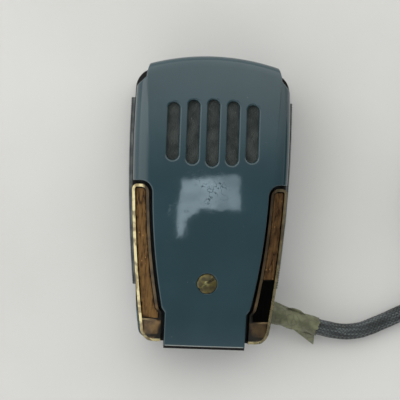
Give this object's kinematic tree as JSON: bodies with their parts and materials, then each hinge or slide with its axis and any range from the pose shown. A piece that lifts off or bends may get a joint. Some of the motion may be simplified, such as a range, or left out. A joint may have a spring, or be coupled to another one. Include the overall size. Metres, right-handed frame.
{
  "type": "hand microphone",
  "caption": "Rounded box hand microphone lying on its back, with a slotted face, a rocking talk bar on its flank, gold corner trim and a cloth-covered cord with a phone plug.",
  "frame": {"origin": "middle of the case on the plane that its back rests on", "axes": "+Z out of the sound face, +Y towards the sound end, +X towards the plain grip strip and the cord"},
  "size_m": [0.2072, 0.1195, 0.03],
  "materials": {
    "cover_enamel": "glossy blue-grey enamel, lightly scratched",
    "case_phenolic": "dark slate moulded plastic, softly glossy",
    "trim_gold": "pale gold plating, worn",
    "aged_glue": "brown, cracked and dull",
    "black_residue": "black and dull",
    "grip_plastic": "dark grey, fine teeth",
    "screw_brass": "tarnished olive brass",
    "grille_fabric": "grey-brown speaker cloth",
    "baffle_plastic": "satin",
    "seal_rubber": "matt",
    "cap_aluminium": "satin",
    "film": "thin amber film",
    "copper_wire": "enamelled copper",
    "soft_iron": "zinc-plated",
    "magnet_iron": "plain cast magnet",
    "felt": "grey felt",
    "steel": "bright zinc",
    "laminate": "brown phenolic laminate",
    "contact_bronze": "spring bronze",
    "tinned": "tinned brass",
    "winding_tape": "yellow insulating tape over copper wire",
    "lead_plastic": "red insulated wire",
    "gland_rubber": "satin",
    "masking_tape": "crumpled grey-green cloth tape",
    "cord_braid": "dark grey cotton braid with lighter flecks",
    "plug_handle_plastic": "black, polished",
    "plug_nickel": "nickel-plated brass",
    "plug_insulator_plastic": "black ring"
  },
  "bodies": {
    "housing": {"front_cover": "cover_enamel", "rear_case": "case_phenolic", "trim_frame": "trim_gold", "left_channel_pad": "aged_glue", "right_channel_pad": "aged_glue", "right_insert_remnant": "black_residue", "cover_screw": "screw_brass", "grille_cloth": "grille_fabric", "baffle_frame": "baffle_plastic", "front_gasket": "seal_rubber", "cartridge_cap": "cap_aluminium", "diaphragm": "film", "voice_coil": "copper_wire", "top_plate": "soft_iron", "pole_piece": "soft_iron", "magnet": "magnet_iron", "cartridge_cup": "cap_aluminium", "rear_cushion": "felt", "grip_strip": "grip_plastic", "hinge_pin": "steel", "return_spring": "steel", "switch_bracket": "steel", "switch_insulators": "laminate", "fixed_contact_blade": "contact_bronze", "moving_contact_blade": "contact_bronze", "switch_screws": "steel", "terminal_board": "laminate", "terminal_lugs": "tinned", "board_screws": "steel", "transformer_core": "soft_iron", "transformer_winding": "winding_tape", "inner_leads": "lead_plastic", "cord_gland": "gland_rubber", "cord_clamp": "steel", "clamp_screw": "steel", "rear_screws": "steel", "tape_wrap": "masking_tape", "cord": "cord_braid", "cord_coil": "cord_braid", "cord_tail": "cord_braid", "plug_handle": "plug_handle_plastic", "plug_sleeve": "plug_nickel", "plug_insulator": "plug_insulator_plastic", "plug_tip": "plug_nickel"},
    "bar": {"talk_bar": "grip_plastic"},
    "plunger": {"switch_plunger": "laminate"}
  },
  "joints": [
    {"name": "talk_bar_press", "type": "hinge", "parent": "housing", "child": "bar", "pos_m": [-0.0204, -0.0265, 0.0088], "axis": [0, 0, -1], "range_deg": [0, 1.2], "stiffness_Nm_per_rad": 0.8, "springref_deg": -1.15, "deforming": ["return_spring", "moving_contact_blade"]},
    {"name": "plunger_slide", "type": "slide", "parent": "housing", "child": "plunger", "axis": [1, 0, 0], "range_m": [0, 0.0008]}
  ],
  "couplings": [
    {"joint": "plunger_slide", "follows": "talk_bar_press", "m_per_rad": 0.0345}
  ]
}
